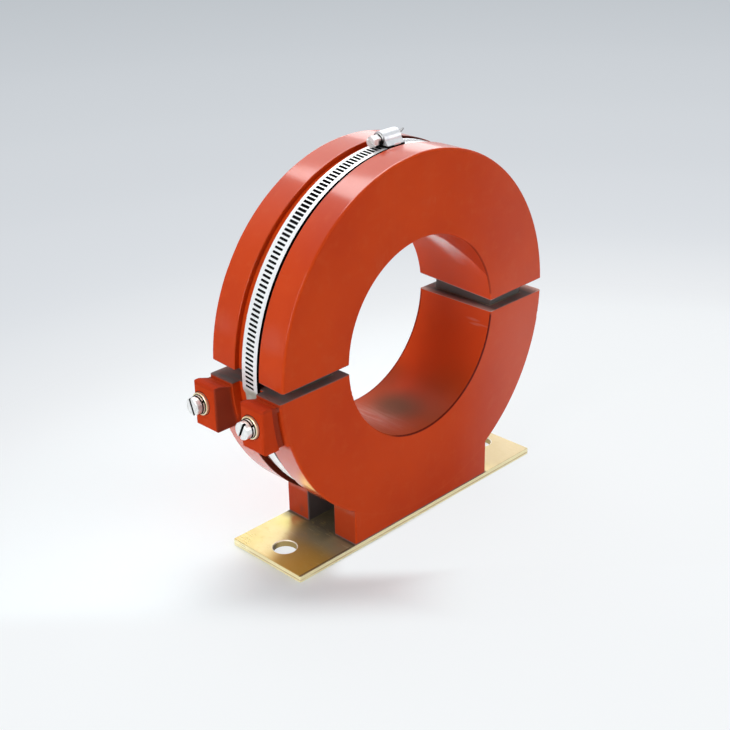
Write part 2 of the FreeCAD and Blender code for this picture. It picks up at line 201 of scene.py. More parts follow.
def grain(place, scale, detail=2.0, roughness=0.5, stretch=None):
    """Noise from 0 to 1 over a place, with features of 1 / scale metres; stretch under 1 draws them out."""
    if stretch:
        place = place.node("VectorMath", {"operation": "MULTIPLY"}, {0: place, 1: stretch})
    sockets = {"Vector": place, "Scale": scale, "Detail": detail, "Roughness": roughness}
    return place.node("TexNoise", {}, sockets)


def spots(place, scale, size):
    """Round spots, 1 at the middle of each and 0 between them."""
    cells = place.node("TexVoronoi", {}, {"Vector": place, "Scale": scale}, "Distance")
    return rise(cells, size, 0.4 * size)


def near(place, centre, reach, squeeze=(1, 1, 1)):
    """1 at a point and 0 beyond its reach; squeeze above 1 shortens the reach along that axis."""
    offset = place.node("VectorMath", {"operation": "SUBTRACT"}, {0: place, 1: centre})
    offset = offset.node("VectorMath", {"operation": "MULTIPLY"}, {0: offset, 1: squeeze})
    away = offset.node("VectorMath", {"operation": "LENGTH"}, {0: offset}, "Value")
    return rise(away, reach, 0.15 * reach)


def start(name):
    """An empty material, and where a point of its surface lies in the frame."""
    material = bpy.data.materials.new(name)
    material.use_nodes = True
    material.node_tree.nodes.clear()
    wire = Wire(material.node_tree)
    place = wire.node("TexCoord", {}, {}, "Object")
    parts = place.node("SeparateXYZ", {}, {0: place})
    x, y, z = (Wire(wire.tree, parts.socket.node.outputs[i]) for i in range(3))
    return material, place, x, y, z


def close(place, height=None, bump=0.00005, blackened=None, **sockets):
    """Ends a material with its shader; height is in units of bump, and blackened is a mask of black painted
    shade.
    """
    values = {}
    for name, value in sockets.items():
        values[name.replace("_", " ").title().replace("Ior", "IOR")] = value
    if height is not None:
        values["Normal"] = place.node("Bump", {}, {"Height": height, "Distance": bump, "Strength": 1.0})
    shader = place.node("BsdfPrincipled", {}, values)
    if blackened is not None:
        painted_black = place.node("BsdfDiffuse", {}, {"Color": rgba(SHADE_BLACK)})
        shader = place.node("MixShader", {}, {0: blackened, 1: shader, 2: painted_black})
    place.node("OutputMaterial", {}, {"Surface": shader})


def length_of(a, b):
    """The length of a line that goes a along one axis and b along another."""
    return (a * a + b * b).math("SQRT")


def from_terminals(y, z):
    """The distance from the middle line of the nearer terminal screw."""
    lengths = [length_of(y - middle, z - TERMINAL_Z) for middle in TERMINAL_Y.values()]
    return lengths[0].math("MINIMUM", lengths[1])


def facing_out(place, x, up):
    """1 on a surface that faces straight away from the bore's axis and 0 on one that stands across it."""
    normal = place.node("SeparateXYZ", {}, {0: place.node("TexCoord", {}, {}, "Normal")})
    across, upward = (Wire(place.tree, normal.socket.node.outputs[axis]) for axis in ("X", "Z"))
    return (across * x + upward * up) / length_of(x, up)


# Cast resin

RESIN = (0.590, 0.054, 0.0050)
RESIN_DEEP = (0.530, 0.043, 0.0045)
RESIN_PALE = (0.610, 0.092, 0.022)
RESIN_SCUFF = (0.600, 0.220, 0.120)
RESIN_DARK = (0.330, 0.022, 0.008)
RESIN_BROWN = (0.270, 0.046, 0.009)
BORE_RED = (0.740, 0.082, 0.018)
BORE_LOW_BROWN = (0.250, 0.058, 0.016)
BORE_BACK_BROWN = (0.250, 0.040, 0.010)
STAIN_BROWN = (0.150, 0.072, 0.036)
SCRATCH_PINK = (0.720, 0.280, 0.210)
BRINK_DARK = (0.100, 0.004, 0.001)
BACK_BRINK_DARK = (0.200, 0.012, 0.002)
ROOT_BROWN = (0.150, 0.040, 0.025)
GROOVE_DARK = (0.060, 0.012, 0.008)
GROOVE_TOP_DARK = (0.040, 0.008, 0.005)
TUNNEL_GREY = (0.105, 0.098, 0.098)
SMUDGE_GREY = (0.09, 0.06, 0.06)
# Grey for dirt in pits, and painted shade in the split and where the resin meets the plate
DIRT_AND_SHADE = (0.140, 0.118, 0.114)
SPLIT_PALE = (0.640, 0.380, 0.330)
SHADE = (0.160, 0.036, 0.022)
# Near-black painted shade, mixed in where slots, seams and gaps lie in shadow
SHADE_BLACK = (0.010, 0.009, 0.009)

# The places of marks: the middle, the reach, and for some a squeeze along each axis

SCUFFS = [
    ((0.0767, -0.029, 0.1906), 0.005, (0.7, 1, 0.7)),
    ((0.0072, -0.029, 0.1982), 0.005, (0.7, 1, 1.2)),
    ((-0.0338, -0.029, 0.1714), 0.009, (1, 1, 0.6)),
    ((-0.0562, -0.029, 0.0200), 0.004, (1, 1, 0.5)),
]
BORE_SCRATCHES = [
    ((0.0588, -0.0160, 0.1066), 0.0060, (1, 0.8, 5)),
    ((0.0589, -0.0225, 0.1048), 0.0070, (1, 0.8, 9)),
    ((0.0589, -0.0180, 0.1040), 0.0050, (1, 0.8, 6)),
]
FOOT_SMUDGE = ((-FOOT_X, 0.0165, 0.0085), 0.006, (1, 1.6, 0.8))
BORE_BROWNED = ((0.024, -0.018, 0.0630), 0.042)
BORE_BACK_EDGE = ((0.027, 0.029, 0.0640), 0.022)
BORE_STAIN = ((0.009, 0.003, 0.0585), 0.018, (0.9, 0.7, 1.0))
BORE_RUBBED = ((-0.014, 0.004, 0.0592), 0.024, (1.0, 0.55, 1.0))
BORE_GLINT = ((0.0445, 0.004, 0.1580), 0.028)
DULL_SHOULDER = ((-0.096, 0.0, AXIS_Z + 0.051), 0.075, (1, 0.3, 1))
FRONT_HAZE = ((-0.105, -0.018, 0.147), 0.012)
REAR_HAZE = ((-0.105, 0.021, 0.145), 0.010)
GLINT_TOP_Z = 0.1668
GLINT_SLOPE = 0.97


class ResinPoint:
    """A point of the resin: the masks of where it lies, and the grains that its looks share."""

    def __init__(self, place, x, y, z):
        self.place = place
        self.x = x
        self.y = y
        self.z = z
        self.up = z - AXIS_Z
        self.radius = length_of(x, self.up)
        self.side = abs(y)
        self.clouds = grain(place, 14, 3)
        self.mottle = grain(place, 160, 3)
        self.dust = grain(place, 220, 4, 0.6, (1.0, 0.25, 1.0))
        upright = grain(place, 260, 2, 0.6, (1.0, 1.0, 0.05))
        level = grain(place, 300, 2, 0.6, (0.05, 1.0, 1.0))
        self.scratches = upright * 0.5 + level * 0.5
        self.pits = spots(place, 420, 0.08) * rise(grain(place, 35, 2), 0.55, 0.7)
        scuffed = rise(grain(place, 500, 3, 0.7, (1.0, 1.0, 0.2)), 0.45, 0.65)
        self.scuff = sum((near(place, *mark) for mark in SCUFFS), 0.0) * scuffed
        self.find_bore()
        self.find_blocks_and_feet()
        self.find_split()
        # The split, tunnel and contact line, where shade is painted, are also duller
        self.grime_and_shade = rise(self.split + self.tunnel + self.contact_shade, 0.0, 1.0)

    def find_bore(self):
        self.bored = rise(self.radius, BORE_R + 0.0008, BORE_R + 0.0002)
        self.upper_bore = self.bored * rise(self.up, 0.004, 0.006)
        self.above_glint = self.z - GLINT_TOP_Z - self.y * GLINT_SLOPE
        streaks = rise(grain(self.place, 380, 3, 0.6, (1.0, 0.12, 1.0)), 0.40, 0.62)
        self.rubbed = self.bored * near(self.place, *BORE_RUBBED) * streaks

    def find_blocks_and_feet(self):
        """The terminals' side of the ring, the blocks, the feet's ends and the tunnel between the feet."""
        self.left = rise(self.x, *LEFT_SIDE)
        self.at_blocks = rise(self.radius, PAD_R + 0.0008, PAD_R + 0.0030) * self.left
        self.block_end = rise(self.x, BLOCK_END_X + 0.0012, BLOCK_END_X + 0.0004)
        out = abs(self.x)
        foot_end = rise(out, FOOT_X - 0.0004, FOOT_X - 0.0001) * rise(out, FOOT_X + 0.0030, FOOT_X + 0.0010)
        inside = rise(self.side, HALF_WIDTH - 0.0001, HALF_WIDTH - 0.0005)
        self.foot_end = foot_end * rise(self.z, 0.040, 0.034) * inside
        self.tunnel = rise(self.side, TUNNEL_Y + 0.0010, TUNNEL_Y + 0.0002) * rise(self.z, 0.032, 0.024)
        # Painted contact shadow where the resin meets the plate
        self.contact_shade = rise(self.z, PLATE_TOP + 0.0012, PLATE_TOP + 0.0004)

    def find_split(self):
        """The two faces at the split, of which the upper one is tilted."""
        upper_face = UPPER_SPLIT + self.x * UPPER_SPLIT_TILT + self.y * UPPER_SPLIT_DRAFT
        on_upper = rise(self.up - upper_face, 0.0007, 0.0002) * rise(self.up, 0.0005, 0.0010)
        on_lower = rise(self.up, LOWER_SPLIT - 0.0006, LOWER_SPLIT - 0.0002) * rise(self.up, 0.0010, 0.0005)
        self.split = (on_upper + on_lower) * rise(self.radius, PAD_R + 0.0006, PAD_R - 0.0002)


def resin_body(at):
    """The cast colour with clouds and streaks, a painted highlight along the ring's edges, with scuffs and a
    smudged foot.
    """
    streaks = grain(at.place, 60, 3, 0.6, (1.0, 1.0, 0.12))
    colour = tint(rise(at.clouds, 0.35, 0.7), RESIN, RESIN_DEEP)
    colour = tint(rise(at.mottle, 0.5, 0.85) * 0.25, colour, RESIN_PALE)
    colour = tint(rise(streaks, 0.55, 0.9) * 0.25, colour, RESIN_PALE)
    # Painted highlight along the ring's outer edges
    edge = rise(at.side, HALF_WIDTH - 0.0012, HALF_WIDTH - 0.0004)
    edge = edge * rise(at.radius, RING_R - 0.0014, RING_R - 0.0005)
    edge = edge * rise(at.radius, RING_R + 0.0006, RING_R + 0.0002)
    colour = tint(edge * 0.12, colour, RESIN_PALE)
    colour = tint(at.scuff * 0.09, colour, RESIN_SCUFF)
    smudge = near(at.place, *FOOT_SMUDGE) * rise(at.mottle, 0.3, 0.6)
    return tint(smudge * 0.7, colour, SMUDGE_GREY)


def mark_bore(at, colour):
    """The bore is painted a brighter red, with painted shade above the line where its glint ends; it is
    browner low down and at the back, with a stain, rubbed and scratched places and pits.
    """
    # Painted light: the bore is painted a brighter red than the outside
    colour = tint(at.bored * 0.7, colour, BORE_RED)
    # Painted shade above the line where the bore's glint ends
    colour = tint(at.upper_bore * rise(at.above_glint, -0.0004, 0.0006) * 0.45, colour, RESIN_DARK)
    colour = tint(at.bored * near(at.place, *BORE_BROWNED) * 0.6, colour, RESIN_BROWN)
    deep = at.bored * rise(at.up, -0.030, -0.052)
    colour = tint(deep * rise(at.x, 0.030, 0.010) * 0.52, colour, BORE_LOW_BROWN)
    back_edge = at.bored * near(at.place, *BORE_BACK_EDGE)
    colour = tint(back_edge * 0.65, colour, BORE_BACK_BROWN)
    stain = at.bored * near(at.place, *BORE_STAIN)
    colour = tint(stain * rise(at.clouds, 0.15, 0.5) * 0.75, colour, STAIN_BROWN)
    colour = tint(at.rubbed * 0.26, colour, RESIN_SCUFF)
    scratched = sum((near(at.place, *mark) for mark in BORE_SCRATCHES), 0.0) * at.bored
    colour = tint(scratched * 0.35, colour, SCRATCH_PINK)
    return tint(at.pits * 0.5, colour, DIRT_AND_SHADE)


def darken_brinks(at, colour):
    """Painted shade: dark lines on the bore's front edge, and on the lower half of its rear edge."""
    front = rise(at.y, 0.0010 - HALF_WIDTH, 0.0006 - HALF_WIDTH)
    brink = rise(at.radius, BORE_R + 0.0010, BORE_R + 0.0006) * front
    lower_half = rise(at.up, -0.0030, -0.0060)
    low_brink = lower_half * rise(at.x, -0.034, -0.020)
    high_brink = rise(at.up, 0.0070, 0.0100) * rise(at.up, 0.052, 0.042) * rise(at.x, 0.0, 0.020)
    brink = brink * (low_brink + high_brink * 0.55)
    colour = tint(brink * 0.95, colour, BRINK_DARK)
    back_brink = at.bored * rise(at.y, HALF_WIDTH - 0.0020, HALF_WIDTH - 0.0012) * lower_half
    return tint(back_brink * 0.70, colour, BACK_BRINK_DARK)


def shade_and_soil_split(at, colour):
    """Painted shade on the faces at the split, greyed like dirt, and paler near the rims at the right."""
    near_rims = rise(at.radius, RING_R - 0.011, RING_R - 0.002)
    near_rims = near_rims + rise(at.radius, BORE_R + 0.0055, BORE_R + 0.0005)
    # Painted shade in the narrow gap between the halves, greyed like dirt
    colour = tint(at.split * (0.80 + 0.20 * rise(at.dust, 0.35, 0.7)), colour, DIRT_AND_SHADE)
    pale_ends = at.split * near_rims * rise(at.x, 0.0, 0.03) * rise(at.dust, 0.15, 0.45)
    return tint(pale_ends * 0.95, colour, SPLIT_PALE)


def shade_blocks_and_feet(at, colour):
    """Painted shade in the relief by the terminal blocks, at their roots and sides, over the blocks and more
    on their tops, and on the feet's ends.
    """
    relief = band(at.radius, PAD_R + 0.0004, RELIEF_R - 0.0002, 0.0005)
    relief = relief * rise(at.side, HALF_WIDTH - 0.0027, HALF_WIDTH - 0.0024)
    relief = relief * rise(at.side, HALF_WIDTH, HALF_WIDTH - 0.0006) * at.left
    colour = tint(relief * 0.75, colour, SHADE)
    root = rise(at.radius, RELIEF_R - 0.0004, PAD_R) * rise(at.radius, RING_R, PAD_R)
    root = root * rise(at.up, -0.0065, -0.0045) * at.left
    colour = tint(root * 0.35, colour, ROOT_BROWN)
    # Painted shade over the blocks, deeper on their tops
    block_top = rise(at.up, -0.0050, -0.0042)
    colour = tint(at.at_blocks * (0.30 + 0.25 * block_top), colour, RESIN_DARK)
    colour = tint(at.foot_end * 0.42, colour, SHADE)
    block_side = rise(at.side, BLOCK_IN_Y + 0.0010, BLOCK_IN_Y + 0.0003)
    block_side = block_side * rise(at.radius, PAD_R, PAD_R + 0.002)
    return tint(block_side * at.left * 0.55, colour, SHADE)


def darken_hollows(at, colour):
    """Painted shade in the groove of the band, in the tunnel between the feet where it is greyed like dirt,
    and along the line where the resin meets the plate.
    """
    groove = rise(at.side, GROOVE_Y + 0.0012, GROOVE_Y + 0.0002)
    groove = groove * rise(at.radius, GROOVE_FLOOR_R - 0.006, GROOVE_FLOOR_R - 0.002)
    colour = tint(groove * rise(grain(at.place, 60, 3), 0.45, 0.75) * 0.35, colour, SHADE)
    low_groove = groove * rise(at.up, -0.020, -0.034) * rise(at.x, -0.020, -0.040)
    colour = tint(low_groove * 0.85, colour, GROOVE_DARK)
    top_groove = groove * rise(at.y, 0.0, 0.004) * rise(at.up, 0.085, 0.092)
    top_groove = top_groove * rise(at.x, 0.006, 0.010) * rise(at.x, 0.055, 0.035)
    colour = tint(top_groove * 0.90, colour, GROOVE_TOP_DARK)
    colour = tint(at.tunnel * 0.96, colour, TUNNEL_GREY)
    return tint(at.contact_shade * 0.8, colour, DIRT_AND_SHADE)


def flange_gloss(at):
    """The polish on the ring's outside, duller at the left shoulder, round the blocks and on the feet."""
    rim = rise(at.radius, RING_R - 0.0003, RING_R - 0.00005)
    rim = rim * rise(at.radius, PAD_R + 0.0006, PAD_R + 0.0001)
    rim = rim * rise(at.side, HALF_WIDTH - 0.0001, HALF_WIDTH - 0.0006)
    by_block = rise(at.x, -0.090, -0.098) * rise(at.up, -0.036, -0.030) * rise(at.up, -0.001, -0.003)
    rim = rim * (0.70 + 0.05 * rise(at.up, 0.0, -0.03))
    rim = rim * (1.0 - 0.8 * near(at.place, *DULL_SHOULDER)) * (1.0 - by_block)
    haze = near(at.place, *FRONT_HAZE) * 1.6 + near(at.place, *REAR_HAZE)
    low = rise(at.up, -0.004, -0.020) * rise(at.x, -0.04, -0.07)
    lower_end = rise(at.up, 0.002, 0.004) * rise(at.up, 0.028, 0.018) * at.left
    rim = (rim + haze * 0.15) * (1.0 + 0.2 * low)
    return rim * (1.0 - 0.85 * lower_end) * (1.0 - 0.5 * at.foot_end)


def resin_gloss(at):
    """How polished the resin is: the flanges, a glint in the upper bore, the rubbed place and the front."""
    below_line = rise(at.above_glint, 0.0004, -0.0004)
    glint = near(at.place, *BORE_GLINT) * rise(at.above_glint, -0.024, -0.010) * 1.3
    glint = glint + 0.22 * rise(at.above_glint, -0.009, -0.002) * rise(at.y, -0.030, -0.012)
    bore = at.upper_bore * below_line * (0.06 + glint) + at.bored * at.rubbed * 0.13
    front = rise(at.y, 0.0006 - HALF_WIDTH, 0.0001 - HALF_WIDTH) * rise(at.x, 0.02, 0.10)
    front = front * (0.2 + 0.25 * rise(at.up, 0.03, -0.03))
    return (flange_gloss(at) + bore + front) * (1.0 - at.grime_and_shade)


def resin_height(at):
    """Orange peel, slow waves, scratches and pits, with dust in the split and chips on the blocks' ends."""
    orange_peel = grain(at.place, 700, 2)
    waves = grain(at.place, 22, 1)
    chipped = grain(at.place, 420, 4, 0.7) * at.at_blocks * at.block_end * rise(at.z, 0.0975, 0.0945)
    height = orange_peel * 0.25 + waves * 6.0 + at.scratches * 0.3
    return height - at.pits * 1.2 + at.dust * at.grime_and_shade * 2.0 + chipped * 14.0


def make_resin():
    """Orange-red cast resin: a moulded gloss with slight waves, painted shade greyed like dirt in the split,
    and scuffs.
    """
    material, place, x, y, z = start("cast_resin")
    at = ResinPoint(place, x, y, z)
    colour = resin_body(at)
    for change in (mark_bore, darken_brinks, shade_and_soil_split, shade_blocks_and_feet, darken_hollows):
        colour = change(at, colour)
    # Painted shadow round the washers on the blocks' ends
    washer_shadow = band(from_terminals(y, z), 0.0060, 0.0068, 0.0005) * at.block_end
    colour = tint(washer_shadow * 0.85, colour, GROOVE_DARK)
    roughness = 0.34 + 0.10 * at.clouds + 0.12 * rise(at.scratches, 0.55, 0.75)
    roughness = roughness + 0.30 * at.grime_and_shade + 0.20 * at.scuff + 0.35 * at.at_blocks
    coat = {"coat_weight": resin_gloss(at), "coat_roughness": 0.14, "coat_ior": 1.9}
    finish = {"base_color": colour, "roughness": roughness, "specular_ior_level": 0.06, **coat}
    close(place, resin_height(at), 0.00002, **finish)
    return material


# Plated steel

GOLD = (0.66, 0.515, 0.225)
GOLD_PALE = (0.73, 0.600, 0.310)
GOLD_ROSE = (0.72, 0.50, 0.27)
GOLD_GREEN = (0.70, 0.62, 0.26)
GOLD_LIT = (0.66, 0.60, 0.14)
GOLD_SCRATCH = (0.90, 0.80, 0.52)
GOLD_MOTTLE = (0.50, 0.35, 0.10)
GOLD_RIGHT_SHADE = (0.44, 0.34, 0.23)
GOLD_AMBER = (0.60, 0.32, 0.022)
REFLECTION_BROWN = (0.320, 0.220, 0.055)
REFLECTION_GREY = (0.250, 0.235, 0.145)
FEET_SHADE = (0.050, 0.034, 0.024)
PLATE_STAIN = (0.34, 0.19, 0.08)
PLATE_EDGE = (1.00, 0.90, 0.55)
PLATE_EDGE_BROWN = (0.46, 0.25, 0.07)
PLATE_EDGE_DARK = (0.075, 0.038, 0.018)
HOLE_RIM_HIGHLIGHT = (1.00, 0.95, 0.82)
HOLE_WALL = (0.40, 0.29, 0.11)
HOLE_DARK = (0.030, 0.020, 0.012)

PLATE_FOOT_SHADOW = ((-0.060, 0.026, PLATE_TOP), 0.008)
PLATE_AMBER = ((-0.100, -0.022, PLATE_TOP), 0.034)
PLATE_LIT = ((-0.067, 0.017, PLATE_TOP), 0.013, (1, 0.8, 1))
HOLE_SHADED = ((-0.0918, 0.0058, PLATE_TOP - 0.0012), 0.0070, (1, 1, 0.8))


def plate_dark_reflection(place, x, y, clouds):
    """1 where a dark reflection of the feet and ring is painted: a slanted patch on the plate's left end,
    and a painted shadow spot by the rear foot.
    """
    dark_reflection = rise(y * 1.9 - x + clouds * 0.012, 0.110, 0.086).math("MAXIMUM", near(place, *PLATE_FOOT_SHADOW))
    return dark_reflection * rise(x, -0.045, -0.060)


def plate_shade(x, side):
    """The dark between the feet and round them."""
    out = abs(x)
    tunnel = rise(side, TUNNEL_Y + 0.004, TUNNEL_Y - 0.002) * rise(out, FOOT_X + 0.016, FOOT_X - 0.004)
    foot = rise(side, HALF_WIDTH + 0.001, HALF_WIDTH) * rise(out, FOOT_X + 0.0030, FOOT_X + 0.0004)
    return (tunnel * 0.85).math("MAXIMUM", foot * 0.8)


def finish_holes(place, hole, z, colour):
    """A painted highlight on each hole's rim and a dull wall; the left hole's wall has painted shade at its
    rear left.
    """
    ring = band(hole, HOLE_R - 0.0001, HOLE_R + 0.0005, 0.0002)
    ring = ring * rise(z, PLATE_TOP - 0.0006, PLATE_TOP - 0.0003)
    # Painted highlight on the hole's rim
    colour = tint(ring * 0.8, colour, HOLE_RIM_HIGHLIGHT)
    wall = rise(hole, HOLE_R + 0.0008, HOLE_R + 0.0002) * rise(z, PLATE_TOP - 0.0005, PLATE_TOP - 0.0008)
    colour = tint(wall * 0.8, colour, HOLE_WALL)
    return tint(wall * near(place, *HOLE_SHADED) * 0.9, colour, HOLE_DARK)


def make_plated_steel():
    """Yellow-passivated zinc on rolled steel, with painted shade at its right end and round the feet, a
    painted dark reflection on its left end, and a painted highlight by the rear foot.
    """
    material, place, x, y, z = start("yellow_zinc")
    top = rise(z, PLATE_TOP - 0.0006, PLATE_TOP - 0.0002)
    clouds = grain(place, 28, 4, 0.55)
    patches = grain(place, 60, 3, 0.5)
    colour = tint(rise(clouds, 0.35, 0.65), GOLD, GOLD_PALE)
    colour = tint(rise(patches, 0.55, 0.75) * 0.5, colour, GOLD_ROSE)
    colour = tint(rise(patches, 0.45, 0.25) * 0.45, colour, GOLD_GREEN)
    # Painted dark reflection and shadow, rougher and less metallic there
    dark_reflection = plate_dark_reflection(place, x, y, clouds)
    colour = tint(dark_reflection * 0.88, colour, tint(rise(x, -0.082, -0.070), REFLECTION_BROWN, REFLECTION_GREY))
    colour = tint(near(place, *PLATE_AMBER) * 0.65, colour, GOLD_AMBER)
    # Painted highlight by the rear foot
    colour = tint(near(place, *PLATE_LIT) * 0.4, colour, GOLD_LIT)
    shade = plate_shade(x, abs(y)) * top
    colour = tint(shade, colour, FEET_SHADE)
    rolled = grain(place, 900, 2, 0.6, (0.03, 1.0, 1.0))
    scratches = grain(place, 700, 3, 0.6, (1.0, 0.07, 1.0))
    colour = tint(rise(scratches, 0.60, 0.75) * 0.25, colour, GOLD_SCRATCH)
    mottle = grain(place, 260, 4, 0.7, (1.0, 0.6, 1.0))
    colour = tint(rise(mottle, 0.52, 0.75) * 0.35, colour, GOLD_MOTTLE)
    # Painted shade over the plate's right end
    colour = tint(rise(x, 0.055, 0.075) * top * 0.62, colour, GOLD_RIGHT_SHADE)
    stains = spots(place, 130, 0.16) * rise(grain(place, 45, 2), 0.55, 0.7) * top
    colour = tint(stains * 0.4, colour, PLATE_STAIN)
    hole = length_of(abs(x) - HOLE_X, y)
    edge = rise(z, PLATE_TOP - 0.0001, PLATE_TOP - 0.0004) * rise(hole, HOLE_R + 0.0008, HOLE_R + 0.0014)
    colour = tint(edge * 0.95, colour, PLATE_EDGE)
    sheared = band(z, PLATE_TOP - 0.0030, PLATE_TOP - 0.0024, 0.0002) * rise(clouds, 0.3, 0.55)
    colour = tint(edge * sheared * 0.65, colour, PLATE_EDGE_BROWN)
    edge_line = rise(y, 0.0016 - HALF_WIDTH, 0.0008 - HALF_WIDTH) * rise(x, -0.056, -0.064) * top
    colour = tint(edge_line * 0.75, colour, PLATE_EDGE_DARK)
    colour = finish_holes(place, hole, z, colour)
    roughness = 0.22 + 0.14 * clouds + 0.12 * rise(scratches, 0.5, 0.7) + 0.22 * dark_reflection + 0.2 * shade
    metal = 0.95 - 0.45 * dark_reflection - 0.4 * shade - 0.75 * edge
    finish = {"base_color": colour, "roughness": roughness, "metallic": metal}
    close(place, rolled * 0.6 + scratches * 0.5, 0.00001, **finish)
    return material


# Stainless steel

STEEL = (0.95, 0.96, 0.97)
STEEL_BRIGHT = (0.98, 0.98, 0.98)
STEEL_BLUE = (0.80, 0.83, 0.87)
STEEL_RIGHT_SHADE = (0.64, 0.66, 0.69)
BAND_SHADE_GREY = (0.34, 0.33, 0.25)
PRESSED_STEEL = (0.82, 0.82, 0.83)
PRESSED_GREY = (0.66, 0.68, 0.71)
TONGUE_SHADE = (0.09, 0.09, 0.09)


def slot_edges(x, y, z):
    """The rims of the slots in the band's tail, which repeat round the ring from the last slot."""
    slots = ((z - AXIS_Z).math("ARCTAN2", x) - SLOT_LAST) * (TAIL_R / SLOT_PITCH)
    slots = slots + (y - BAND_Y) * (SLOT_SLANT / SLOT_PITCH)
    from_slot = abs((slots + 0.5).math("FRACT") - 0.5) * SLOT_PITCH
    edged = rise(from_slot, SLOT_HALF_WIDTH + 0.000275, SLOT_HALF_WIDTH + 0.000145)
    return edged * rise(abs(y - BAND_Y), SLOT_HALF_LENGTH + 0.00030, SLOT_HALF_LENGTH + 0.00010)


def band_painted_shade(place, x, y, z):
    """Painted shade in black on the layer under the tail, on the band's edges, along its front edge low down
    and round the slots.
    """
    edges = rise(facing_out(place, x, z - AXIS_Z), 0.85, 0.60)
    under_tail = rise(length_of(x, z - AXIS_Z), TAIL_R - 0.00010, TAIL_R - 0.00020)
    black = under_tail.math("MAXIMUM", edges) * rise(z, 0.110, 0.113)
    black = black.math("MAXIMUM", edges * rise(z, 0.097, 0.092)) * rise(x, 0.028, 0.018)
    low_edge = rise(y, BAND_Y - 0.0022, BAND_Y - 0.0032) * band(z, 0.064, 0.090, 0.004)
    black = black.math("MAXIMUM", low_edge * rise(x, -0.05, -0.06))
    return black.math("MAXIMUM", slot_edges(x, y, z) * rise(z, 0.185, 0.205) * rise(x, -0.006, -0.008))


def make_band_steel():
    """Bright rolled stainless strip, with painted shade: olive-grey below the tail's end, darker at the
    right, and black on the layer under the slotted tail.
    """
    material, place, x, y, z = start("stainless_band")
    lines = grain(place, 500, 3, 0.6, (0.06, 1.0, 0.06))
    clouds = grain(place, 70, 3)
    colour = tint(rise(lines, 0.4, 0.7), STEEL, STEEL_BRIGHT)
    colour = tint(rise(clouds, 0.5, 0.75) * 0.2, colour, STEEL_BLUE)
    # Painted shade, olive-grey, on the band below the tail's end; a little rougher there
    band_shade = rise(z, 0.1148, 0.1120) * rise(z, 0.088, 0.100) * rise(x, -0.08, -0.10)
    colour = tint(band_shade * (0.55 + 0.45 * rise(clouds, 0.3, 0.6)), colour, BAND_SHADE_GREY)
    # Painted shade over the band to the right of the housing
    colour = tint(rise(x, 0.0, 0.04) * 0.75, colour, STEEL_RIGHT_SHADE)
    roughness = 0.30 + 0.14 * lines + 0.15 * band_shade
    finish = {"base_color": colour, "roughness": roughness, "metallic": 0.45}
    close(place, lines, 0.000012, band_painted_shade(place, x, y, z), **finish)
    return material


def make_pressed_steel():
    """The clamp housing's pressed strip: bright, with stretch marks from the press, painted shade darkening
    the tongue, and black painted shade along its foot.
    """
    material, place, x, y, z = start("pressed_steel")
    clouds = grain(place, 180, 3)
    lines = grain(place, 900, 2, 0.6, (0.08, 1.0, 1.0))
    colour = tint(rise(clouds, 0.35, 0.7), PRESSED_STEEL, PRESSED_GREY)
    colour = tint(rise(x, HOUSING_FAR_X + 0.0001, HOUSING_FAR_X + 0.0006) * 0.85, colour, TONGUE_SHADE)
    # Black painted shade along the housing's foot, where it meets the band
    foot = rise(z, HOUSING_FOOT_Z + 0.0016, HOUSING_FOOT_Z + 0.0011)
    roughness = 0.24 + 0.14 * clouds + 0.08 * lines
    finish = {"base_color": colour, "roughness": roughness, "metallic": 0.8}
    close(place, lines + clouds * 1.5, 0.000012, foot, **finish)
    return material


# Screws and washers

ZINC = (0.90, 0.90, 0.89)
ZINC_GREY = (0.80, 0.80, 0.78)
ZINC_STAIN = (0.55, 0.40, 0.22)
WASHER_GOLD = (0.95, 0.85, 0.60)
WASHER_DEEP = (0.86, 0.71, 0.42)
WASHER_DULL = (0.50, 0.38, 0.22)
TURNED_RINGS = 9000
BY_TERMINALS = (-0.120, -0.121)
COLLAR_SEAM = (-0.0078, -0.0076)
HOUSING_SEAM = (-0.0067, -0.0062)


def screw_painted_shade(x, z, out):
    """Painted shade in black: in the terminal screws' slots, between their washers, in the seams of the worm
    screw and under its head.
    """
    slot = rise(x, HEAD_FACE_X + 0.0001, HEAD_FACE_X + 0.0004) * rise(out, HEAD_R - 0.0001, HEAD_R - 0.0003)
    seams = band(x, SPRING_X - 0.0002, SPRING_X + 0.0004, 0.0001)
    seams = seams + band(x, FLAT_X - 0.0004, FLAT_X + 0.0001, 0.0001)
    worm_seams = band(x, *COLLAR_SEAM, 0.0001) + band(x, *HOUSING_SEAM, 0.0001)
    under_head = rise(x, -0.0106, -0.0093) * rise(z, WORM_Z + 0.00185, WORM_Z - 0.00015)
    at_worm = rise(z, 0.20, 0.21) * rise(x, -0.0060, -0.0062)
    return (slot + seams) * rise(x, *BY_TERMINALS) + (worm_seams + under_head) * at_worm


def make_zinc():
    """Bright zinc on the screws, with turned rings on the terminal screws' heads and black painted shade in
    slots and seams.
    """
    material, place, x, y, z = start("zinc_screw")
    out = from_terminals(y, z)
    rings = (out * TURNED_RINGS).math("SINE")
    clouds = grain(place, 260, 3)
    colour = tint(rise(clouds, 0.35, 0.7), ZINC, ZINC_GREY)
    stained = rise(grain(place, 320, 2), 0.5, 0.7) * rise(x, -0.1285, -0.1270)
    stained = stained * rise(x, *BY_TERMINALS)
    colour = tint(stained * 0.5, colour, ZINC_STAIN)
    finish = {"base_color": colour, "roughness": 0.24 + 0.14 * clouds, "metallic": 0.60}
    close(place, rings * 0.5 + clouds * 2.0, 0.000008, screw_painted_shade(x, z, out), **finish)
    return material


